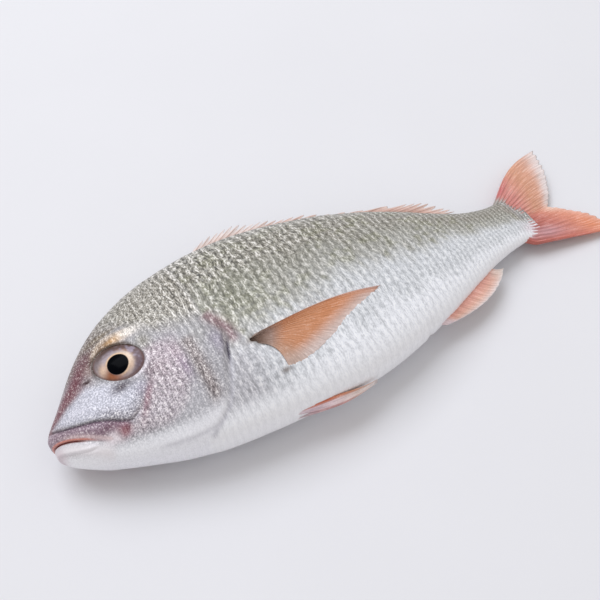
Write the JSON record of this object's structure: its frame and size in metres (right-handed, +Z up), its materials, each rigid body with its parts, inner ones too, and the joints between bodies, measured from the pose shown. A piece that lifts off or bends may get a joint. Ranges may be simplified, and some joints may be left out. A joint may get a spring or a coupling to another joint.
{
  "type": "whole raw fish",
  "caption": "Whole raw sea bream about 300 mm long, lying on its right flank with all its fins, silvery with a grey-green back, salmon fins and dark-pupilled golden eyes.",
  "frame": {"origin": "on the flat of the right flank where the fish rests on the slab, 105 mm behind the snout and level with it across", "axes": "+X from snout to tail, +Y towards the back fin, +Z up out of the left flank"},
  "size_m": [0.3015, 0.1146, 0.0417],
  "materials": {
    "skin": "wet silvery scaled skin with translucent salmon fins",
    "eye": "clear glossy cornea over a golden iris and a black pupil"
  },
  "bodies": {
    "root": {"fish": "skin", "left_eye": "eye", "right_eye": "eye"}
  },
  "joints": []
}
